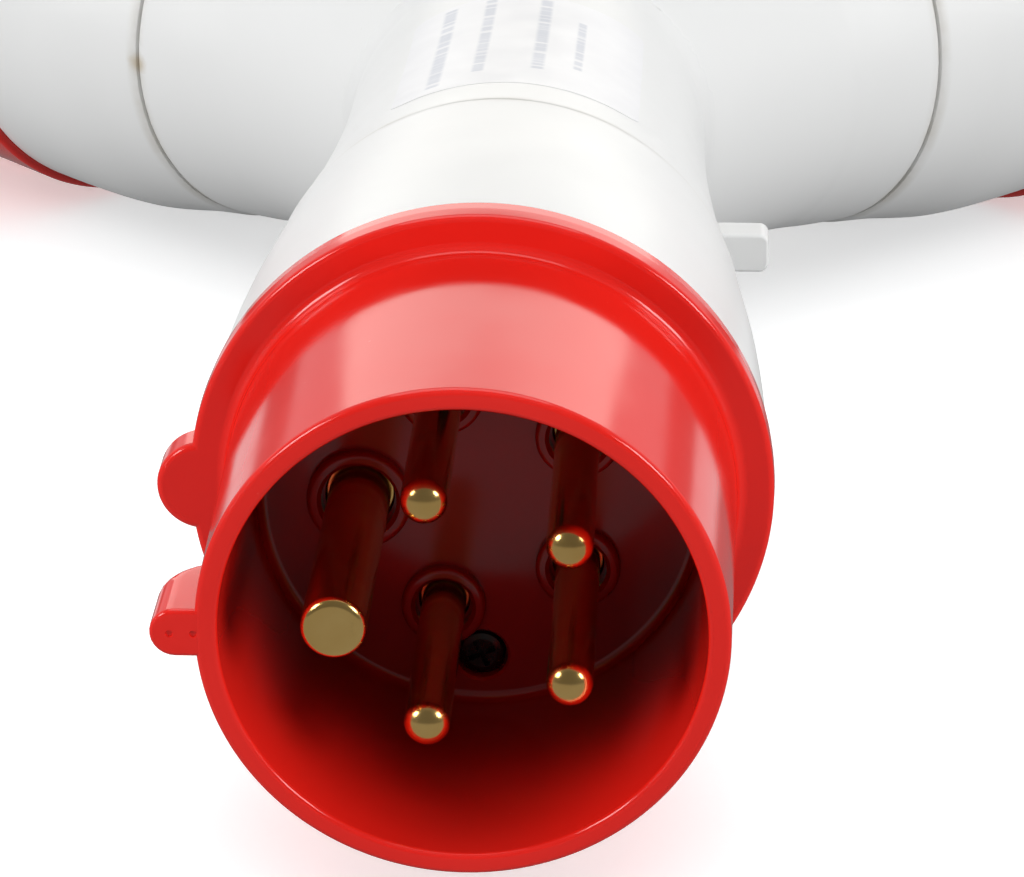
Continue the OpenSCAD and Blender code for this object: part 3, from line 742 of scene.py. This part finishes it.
def hub_field(p):
    """Signed distance-like value and outward direction of the hub's skin, with soft creases. p in mm in the row frame."""
    vals, dirs = [], []
    rad = np.stack([p[:, 0], 0 * p[:, 0], p[:, 2]], 1)
    d = np.linalg.norm(rad, axis=1)
    slope = (stem_r(p[:, 1] + 0.5) - stem_r(p[:, 1] - 0.5))
    g = rad / np.maximum(d, 1e-6)[:, None]
    g[:, 1] = -slope
    vals.append(np.where(p[:, 1] < HUB_Y, d - stem_r(p[:, 1]), 99))
    dirs.append(g / np.linalg.norm(g, axis=1)[:, None])
    for side in (-1, 1):
        a = np.array([side * S45, S45, 0])
        q = p - np.array([0, HUB_Y, 0])
        s = q @ a
        rad = q - s[:, None] * a
        d = np.linalg.norm(rad, axis=1)
        dd = np.linalg.norm(q, axis=1)
        slope = arm_r(s + 0.5) - arm_r(s - 0.5)
        g = rad / np.maximum(d, 1e-6)[:, None] - slope[:, None] * a
        ball = q / np.maximum(dd, 1e-6)[:, None]
        front = (s < 0)
        vals.append(np.where(front, dd - 28.15, d - arm_r(s)))
        g = np.where(front[:, None], ball, g)
        dirs.append(g / np.linalg.norm(g, axis=1)[:, None])
    v, g = np.array(vals), np.array(dirs)
    order = np.argsort(v, axis=0)
    n = np.arange(len(p))
    va, vb = v[order[0], n], v[order[1], n]
    ga, gb = g[order[0], n], g[order[1], n]
    w = np.clip((0.99 - (ga * gb).sum(1)) / 0.12, 0, 1)
    w = w * w * (3 - 2 * w)
    k = BLEND
    h = np.clip(1 - (vb - va) / k, 0, 1) * w
    val = va - h * h * k / 4
    t = 0.5 * h
    grad = ga * (1 - t)[:, None] + gb * t[:, None]
    return val, grad


def hub():
    stem = rounded([(0, -SEAM_Y), (29.2, -SEAM_Y)] + STEM_SPLINE + [(0, -140)])
    ob = tmp(*revolve(stem, 216))
    ob.data.transform(Matrix.Rotation(math.pi / 2, 4, "X"))
    arms = []
    for side in (-1, 1):
        v, f = revolve(rounded([(0, 2)] + ARM_SPLINE + [(30.5, 53.9, 0.2), (30.1, 54.0), (0, 54.0)]), 216)
        arms.append(tmp(on_arm(side)(v), f))
    th = np.linspace(-math.pi / 2, math.pi / 2, 97)
    v, f = revolve([(28.4 * math.cos(t) if abs(t) < 1.57 else 0, 28.4 * math.sin(t)) for t in th], 200)
    ball = tmp(v + np.array([0, HUB_Y, 0]), f)
    boolean(ob, [ball] + arms, "UNION")
    # The hollow inside.
    v, f = revolve([(0, -45), (23.5, -45), (23.5, -88), (21.8, -90), (21.8, -139.7), (0, -139.7)], 96)
    bore = tmp(on_plug(v), f)
    v, f = revolve([(25.4 * math.cos(t) if abs(t) < 1.57 else 0, 25.4 * math.sin(t)) for t in np.linspace(-math.pi / 2, math.pi / 2, 41)], 80)
    inner = [tmp(v + np.array([0, HUB_Y, 0]), f)]
    for side in (-1, 1):
        v, f = revolve([(0, 2.1), (25.15, 2.1), (25.4, 38), (27, 40), (27, 60), (0, 60)], 97)
        inner.append(tmp(on_arm(side)(v), f))
    boolean(ob, [bore] + inner)
    cut = tmp(*prism([(18, -2.7), (38, -2.7), (38, 3.0), (18, 3.0)], 76.75, 82.25))
    me = cut.data
    for vert in me.vertices:
        x, z, y = vert.co
        vert.co = (x, y, z)
    boolean(ob, [cut])
    me = ob.data
    co = np.zeros(len(me.vertices) * 3)
    me.vertices.foreach_get("co", co)
    co = co.reshape(-1, 3)
    hard, _ = hub_field_hard(co)
    skin = np.abs(hard) < 0.16
    for _ in range(3):
        val, grad = hub_field(co[skin])
        g2 = (grad * grad).sum(1)
        co[skin] -= grad * (val / g2)[:, None] * 0.98
    me.vertices.foreach_set("co", co.ravel())
    finish_piece(ob, "hub_shell", lambda p: p, "body", ["hub_body"], WHITE, sharp=35, weighted=False, merge=0)
    # Exact normals on the skin, so that the soft creases shade smoothly.
    me = ob.data
    nl = len(me.loops)
    nrm = np.zeros(nl * 3, np.float32)
    me.corner_normals.foreach_get("vector", nrm)
    nrm = nrm.reshape(-1, 3)
    vi = np.zeros(nl, np.int32)
    me.loops.foreach_get("vertex_index", vi)
    co = np.zeros(len(me.vertices) * 3)
    me.vertices.foreach_get("co", co)
    co = co.reshape(-1, 3) * 1000
    fn = np.zeros(len(me.polygons) * 3)
    me.polygons.foreach_get("normal", fn)
    fn = fn.reshape(-1, 3)
    tot = np.zeros(len(me.polygons), np.int32)
    me.polygons.foreach_get("loop_total", tot)
    loop_face = np.repeat(np.arange(len(me.polygons)), tot)
    val, grad = hub_field(co)
    grad /= np.linalg.norm(grad, axis=1)[:, None]
    inside = (co[:, 1] > SEAM_Y + 0.5)
    for side in (-1, 1):
        s = (co - np.array([0, HUB_Y, 0])) @ np.array([side * S45, S45, 0])
        inside &= s < 53.3
    good = (np.abs(val) < 0.12) & inside
    g = grad[vi]
    use = good[vi] & ((g * fn[loop_face]).sum(1) > 0.8)
    nrm[use] = g[use]
    me.normals_split_custom_set([tuple(x) for x in nrm])


def hub_field_hard(p):
    global BLEND
    keep, BLEND = BLEND, 1e-3
    out = hub_field(p)
    BLEND = keep
    return out


def label():
    outer = [(stem_r(y) + 0.05, -y) for y in np.linspace(60, 110, 51)]
    inner = [(stem_r(y) + 0.01, -y) for y in np.linspace(110, 60, 51)]
    v, f = revolve(outer + inner, 512)
    ob = tmp(on_plug(v), f)
    box = rounded([(-14.5, 61, 2.0), (16.5, 61, 2.0), (16.5, 109, 2.0), (-14.5, 109, 2.0)], 6)
    cut = tmp(*prism(box, 14, 40))
    boolean(ob, [cut], "INTERSECT")
    finish_piece(ob, "label_film", lambda p: p, "body", ["hub_label"], LABEL, sharp=40)


def lock_tab():
    box = rounded([(21.6, -2.45, 0.3), (33.4, -2.45, 1.25), (33.4, 2.75, 1.25), (21.6, 2.75, 0.3)], 6)
    ob = tmp(*prism(box, 77.0, 82.0, 0.45, 0.45, 4))
    finish_piece(ob, "lock_tab_tongue", lambda p: np.stack([p[:, 0], p[:, 2], p[:, 1]], 1), "lock_tab", ["lock_tab"], WHITE, sharp=50)


# ------------------------------------------------------------------ sockets
HOUSING_CURVE = [(31.4, 54.9), (32.6, 62), (33.7, 67), (34.7, 72), (35.2, 77), (35.45, 82), (35.6, 88), (35.65, 93.2)]


def arm_pieces(side):
    sn = "right" if side > 0 else "left"
    arm = on_arm(side)

    # White housing.
    prof = rounded([(30.1, 54.0), (30.9, 54.15, 0.1)] + spline(HOUSING_CURVE, 1.2) + [
        (35.4, 93.7, 0.15), (31.9, 93.7), (31.9, 76), (30.6, 74), (28, 62), (24.6, 56), (24.6, 41.4), (25, 41), (26.4, 41), (26.9, 41.5), (26.9, 54.0)])
    finish_piece(tmp(*revolve(prof, 224)), sn + "_housing_shell", arm, "body", [sn + "_socket_housing"], WHITE, sharp=35)

    # Red front with its keyway and hinge ears.
    body = turned([
        (20, 89), (29.2, 89), (29.2, 76), (31.4, 76), (31.8, 76.4), (31.8, 80), (30.4, 80), (30.4, 82.4), (31.8, 82.4), (31.8, FRONT_S),
        (36.9, FRONT_S, 0.9), (36.9, 111.6, 0.9), (33, 111.6, 0.7), (33, RIM_S, 0.6), (SLOT_R, RIM_S, 0.6), (SLOT_R, CARRIER_FOOT), (20, CARRIER_FOOT)], 224, seg=5)
    way = [(-5.6, 31)] + [(37.15 * math.sin(t), 37.15 * math.cos(t)) for t in np.linspace(-0.1514, 0.1514, 9)] + [(5.6, 31)]
    way = tmp(*prism(way, 108.2, RIM_S - 0.05, 0.3, 0.45))
    add = [way]
    for x in (-9.6, 6.1):
        ear = [(-30.2, HINGE_Z - 2.7), (HINGE_Y, HINGE_Z - 2.7)]
        ear += [(HINGE_Y + 2.7 * math.cos(math.radians(a)), HINGE_Z + 2.7 * math.sin(math.radians(a))) for a in np.linspace(-99, -261, 12)]
        ear += [(HINGE_Y, HINGE_Z + 2.7), (-30.2, HINGE_Z + 2.7)]
        v, f = prism(ear, 0, 3.5, 0.35, 0.35)
        add.append(tmp(np.stack([v[:, 2] + x, v[:, 0], v[:, 1]], 1), f))
        rib = [(-36, 108.4, 1.2), (-30.4, 108.4), (-30.4, HINGE_Z - 0.5), (-36, HINGE_Z - 0.5)]
        v, f = prism(rounded(rib), 0, 3.5, 0.3, 0.3)
        v = np.stack([v[:, 2] + x, v[:, 0], v[:, 1]], 1)
        v[:, 0] = x + 1.75 + (v[:, 0] - x - 1.75) * 0.994
        add.append(tmp(v, f))
    boolean(body, add, "UNION")
    cut = [drill(SLOT_R - 0.003, CARRIER_FOOT + 0.003, 150, n=224)]
    cut.append(tmp(*prism(rounded([(-3.35, 20), (3.35, 20), (3.35, 34, 0.8), (-3.35, 34, 0.8)]), RIM_S - 14, 150)))
    for x in (-22.3, 22.3):
        cut.append(drill(1.7, 80, 100, (x, 0), 32))
    v, f = revolve([(0, -20), (1.5, -20), (1.5, 20), (0, 20)], 40)
    cut.append(tmp(np.stack([v[:, 2], v[:, 0] + HINGE_Y, v[:, 1] + HINGE_Z], 1), f))
    boolean(body, cut)
    finish_piece(body, sn + "_front_shell", arm, "body", [sn + "_socket_front"], RED, sharp=33)

    # Contact carrier.
    car = turned([(0, 86), (19.6, 86), (19.6, CARRIER_FOOT), (25.15, CARRIER_FOOT), (25.15, CARRIER_FACE, 0.8), (0, CARRIER_FACE)], 160)
    cut = []
    for i in range(5):
        a = sock_angle(i)
        c = (PIN_CIRCLE * math.cos(a), PIN_CIRCLE * math.sin(a))
        r = (EARTH_R if i == 0 else PIN_R) + 0.05
        f_ = CARRIER_FACE
        cut.append(tmp(*revolve([(0, 80), (r + 1.25, 80), (r + 1.25, f_ - 3.2), (r + 0.5, f_ - 3.2), (r + 0.5, f_ - 0.9), (r + 1.35, f_ - 0.12), (r + 1.6, f_ + 0.02), (r + 1.6, f_ + 2), (0, f_ + 2)], 56, c)))
    for x in (-22.3, 22.3):
        cut.append(drill(1.5, 90, 102, (x, 0), 32))
    cut.append(tmp(*revolve([(0, CARRIER_FACE - 3), (5, CARRIER_FACE - 3), (5, CARRIER_FACE - 0.4), (5.4, CARRIER_FACE + 0.02), (5.4, CARRIER_FACE + 2), (0, CARRIER_FACE + 2)], 56)))
    boolean(car, cut)
    finish_piece(car, sn + "_carrier_block", arm, "body", [sn + "_contact_carrier"], RED, sharp=33)

    # Lid.
    lid = turned([
        (0, LID_Z), (33.4, LID_Z), (33.4, RIM_S - 1.9, 0.25), (35, RIM_S - 1.9, 0.35), (35, RIM_S + 3.3, 1.1), (28, RIM_S + 4.6, 6), (14, RIM_S + 5.2, 8), (0, RIM_S + 5.4)], 224, seg=6)
    boolean(lid, [
        tmp(*prism([(-40, -50), (40, -50), (40, -20), (-40, -20)], RIM_S - 3, LID_Z + 0.004)),
        tmp(*prism([(-6.2, 20), (6.2, 20), (6.2, 50), (-6.2, 50)], RIM_S - 3, LID_Z + 0.004))])
    add = []
    lip = rounded([(26, LID_Z), (36.6, LID_Z, 0.35), (36.6, LID_Z + 2.6, 0.35), (26, LID_Z + 2.6)])
    v, f = prism(lip, -8, 8, 0.5, 0.5)
    add.append(tmp(np.stack([v[:, 2], v[:, 0], v[:, 1]], 1), f))
    grip = rounded([(34.2, LID_Z + 0.4, 0.3), (36.55, LID_Z + 0.4, 0.3), (36.55, LID_Z + 6.6, 0.6), (34.2, LID_Z + 6.6, 0.6)])
    v, f = prism(grip, -7.95, 7.95, 0.5, 0.5)
    add.append(tmp(np.stack([v[:, 2], v[:, 0], v[:, 1]], 1), f))
    bridge = rounded([(HINGE_Y - 1.2, LID_Z, 0.3), (HINGE_Y + 10.8, LID_Z), (HINGE_Y + 10.8, LID_Z + 2.2), (HINGE_Y - 1.2, LID_Z + 2.2, 0.7)])
    v, f = prism(bridge, -9.6, 9.6, 0.4, 0.4)
    add.append(tmp(np.stack([v[:, 2], v[:, 0], v[:, 1]], 1), f))
    for x in (-5.8, 3.0):
        kn = [(HINGE_Y + 2.7, LID_Z + 1.2), (HINGE_Y - 1.2, LID_Z + 1.2), (HINGE_Y - 1.2, HINGE_Z + 2.42)]
        kn += [(HINGE_Y + 2.7 * math.cos(math.radians(a)), HINGE_Z + 2.7 * math.sin(math.radians(a))) for a in np.linspace(120, 360, 15)]
        v, f = prism(kn, 0, 2.8)
        add.append(tmp(np.stack([v[:, 2] + x, v[:, 0], v[:, 1]], 1), f))
    boolean(lid, add, "UNION")
    v, f = revolve([(0, -20), (1.56, -20), (1.56, 20), (0, 20)], 40)
    boolean(lid, [tmp(np.stack([v[:, 2], v[:, 0] + HINGE_Y, v[:, 1] + HINGE_Z], 1), f)])
    finish_piece(lid, sn + "_lid_cover", arm, sn + "_lid", [sn + "_lid"], RED, sharp=33)

    # Gasket under the lid, with soft edges.
    finish_piece(turned([(29.2, RIM_S + 0.3, 0.3), (32.6, RIM_S + 0.3, 0.3), (32.6, LID_Z), (29.2, LID_Z)], 160), sn + "_gasket_ring", arm, sn + "_lid", [sn + "_lid_gasket"], RUBBER, sharp=35)

    # Hinge pin with rounded ends, and its spring as a round wire.
    v, f = revolve(rounded([(0, -10.4), (1.5, -10.4, 0.35), (1.5, 10.4, 0.35), (0, 10.4)]), 40)
    finish_piece(tmp(np.stack([v[:, 2], v[:, 0] + HINGE_Y, v[:, 1] + HINGE_Z], 1), f), sn + "_hinge_rod", arm, NODE_BODY[sn + "_hinge_pin"], [sn + "_hinge_pin"], STEEL, sharp=35)
    n, m, secs = 200, 12, []
    for k in range(n + 1):
        a = 2 * math.pi * 5 * k / n
        c = np.array([-2.3 + 4.6 * k / n, HINGE_Y + 2.1 * math.cos(a), HINGE_Z + 2.1 * math.sin(a)])
        t = np.array([4.6 / n, -2.1 * math.sin(a) * 2 * math.pi * 5 / n, 2.1 * math.cos(a) * 2 * math.pi * 5 / n])
        t /= np.linalg.norm(t)
        u = np.array([0, math.cos(a), math.sin(a)])
        w = np.cross(t, u)
        secs.append([c + 0.35 * (math.cos(2 * math.pi * j / m) * u + math.sin(2 * math.pi * j / m) * w) for j in range(m)])
    finish_piece(tmp(*loft(secs)), sn + "_spring_wire", arm, NODE_BODY[sn + "_lid_spring"], [sn + "_lid_spring"], STEEL, sharp=60)

    for part in ("earth", "line_1", "line_2", "line_3", "neutral"):
        cad_mat(f"{sn}_{part}_lead", LEADS[part])
        cad_mat(f"{sn}_{part}_contact", BRASS)
    cad_mat(sn + "_terminal_screws", STEEL)
    cad_mat(sn + "_carrier_screws", STEEL)
    cad_mat(sn + "_housing_seal", RUBBER)


NODE_BODY = {n: b for b, ns in frame["record"]["behaviour"]["bodies"].items() for n in ns}
plug_shroud()
for i, n in enumerate(("earth_pin", "line_1_pin", "line_2_pin", "line_3_pin", "neutral_pin")):
    pin(i, n)
neck()
hub()
label()
lock_tab()
arm_pieces(-1)
arm_pieces(1)
cad_mat("pin_retainer", BLACK)
cad_mat("shroud_screws", DARK)
cad_mat("plug_terminal_screws", STEEL)
cad_mat("shroud_seal", RUBBER)

# ------------------------------------------------------------------ floor, light, camera
FLOOR_Z = CAD_BOX[0][2]
fl = bpy.data.meshes.new("floor")
bm = bmesh.new()
# One plain sheet under the part.
quad = [bm.verts.new(c) for c in ((-4, -3, 0), (4, -3, 0), (4, 5, 0), (-4, 5, 0))]
bm.faces.new(quad)
bm.to_mesh(fl)
bm.free()
floor = bpy.data.objects.new("floor", fl)
floor.location = (0, 0, FLOOR_Z - 0.00002)
bpy.context.scene.collection.objects.link(floor)
fm, nt, b = new_mat("pale floor")
b.inputs["Base Color"].default_value = (0.95, 0.95, 0.955, 1)
b.inputs["Roughness"].default_value = 0.9
b.inputs["Specular IOR Level"].default_value = 0.0
b.inputs["Emission Color"].default_value = (1, 1, 1, 1)
b.inputs["Emission Strength"].default_value = 0.34
fl.materials.append(fm)
# As in the picture, the part mirrors and is lit from below by the dim room, not by the white table.
floor.visible_glossy = False
floor.visible_diffuse = False

world = bpy.data.worlds.new("studio")
bpy.context.scene.world = world
world.use_nodes = True
nt = world.node_tree
bg = nt.nodes["Background"]
tc = node(nt, "ShaderNodeTexCoord")
sep = node(nt, "ShaderNodeSeparateXYZ")
nt.links.new(tc.outputs["Generated"], sep.inputs[0])
# A pale room: bright behind, dim on the near side.
back = mapr(nt, sep.outputs[1], -0.55, 0.75, 0.14, 0.62, True)
above = mapr(nt, sep.outputs[2], -0.03, 0.02, 0, 1, True)
# Below the horizon, only mirrored: dim, with one pale strip low behind.
strip = math_(nt, "MULTIPLY", mapr(nt, sep.outputs[2], -0.32, -0.27, 0, 1, True), mapr(nt, sep.outputs[2], -0.17, -0.13, 1, 0, True))
strip = math_(nt, "MULTIPLY", strip, mapr(nt, sep.outputs[1], 0.80, 0.88, 0, 1, True))
low = math_(nt, "ADD", math_(nt, "MULTIPLY", strip, 0.60), mapr(nt, sep.outputs[1], -0.2, 0.5, 0.29, 0.20, True))
level = math_(nt, "ADD", math_(nt, "MULTIPLY", back, above), math_(nt, "MULTIPLY", low, math_(nt, "SUBTRACT", 1.0, above)))
nt.links.new(level, bg.inputs["Strength"])
bg.inputs["Color"].default_value = (0.985, 0.992, 1.0, 1)


def area(name, loc, aim, size, size_y, radiance, colour=(1, 1, 1)):
    li = bpy.data.lights.new(name, "AREA")
    li.shape = "RECTANGLE"
    li.size, li.size_y = size, size_y
    li.energy = radiance * math.pi * size * size_y
    li.color = colour
    ob = bpy.data.objects.new(name, li)
    ob.location = loc
    ob.rotation_euler = (Vector(aim) - Vector(loc)).to_track_quat("-Z", "Y").to_euler()
    ob.visible_camera = False
    bpy.context.scene.collection.objects.link(ob)
    return ob


left = area("left softbox", (-0.99, -0.40, 0.18), (0, 0.06, 0), 0.7, 0.42, 11.5)
right = area("right softbox", (1.00, -0.38, 0.18), (0, 0.06, 0), 0.7, 0.42, 11.5)
sparkle = [area("left kicker", (-0.74, -0.36, 0.52), (0, 0, 0), 0.30, 0.30, 10.0)]
sparkle.append(area("right kicker", (0.76, -0.32, 0.46), (0, 0, 0), 0.30, 0.30, 10.0))
area("back panel", (0.0, 1.45, 0.36), (0, 0.0, 0.05), 1.24, 0.72, 1.35, (1.0, 0.96, 0.87))
area("overhead", (0.0, 0.25, 1.20), (0.0, 0.06, 0.0), 1.1, 0.9, 1.62)
fill = area("front fill", (0.0, -0.80, 1.00), (0, 0.03, 0), 1.0, 0.8, 2.05)
# The large lights at the front give no highlights, and the two small ones give only highlights.
for light in (left, right, fill):
    light.visible_glossy = False
for light in sparkle:
    light.visible_diffuse = False

cam = bpy.data.cameras.new("camera")
cam.sensor_fit = "HORIZONTAL"
cam.sensor_width = 36.0
cam.lens = 3936.157 / 1024 * 36.0
cam.clip_start = 0.01
cam.clip_end = 50
co_ = bpy.data.objects.new("camera", cam)
az, el, roll = 0.048, 0.405, -0.005
d = Vector((-math.sin(az) * math.cos(el), math.cos(az) * math.cos(el), -math.sin(el)))
r = d.cross(Vector((0, 0, 1))).normalized()
u = r.cross(d)
r2 = r * math.cos(roll) + u * math.sin(roll)
u2 = u * math.cos(roll) - r * math.sin(roll)
rot = Matrix((r2, u2, -d)).transposed()
co_.matrix_world = Matrix.Translation((0.022934, -0.404573, 0.180197)) @ rot.to_4x4()
bpy.context.scene.collection.objects.link(co_)
bpy.context.scene.camera = co_
bpy.context.scene.view_settings.view_transform = "Standard"
bpy.context.scene.view_settings.look = "None"
bpy.context.scene.view_settings.exposure = 0.0

bpy.context.view_layer.update()
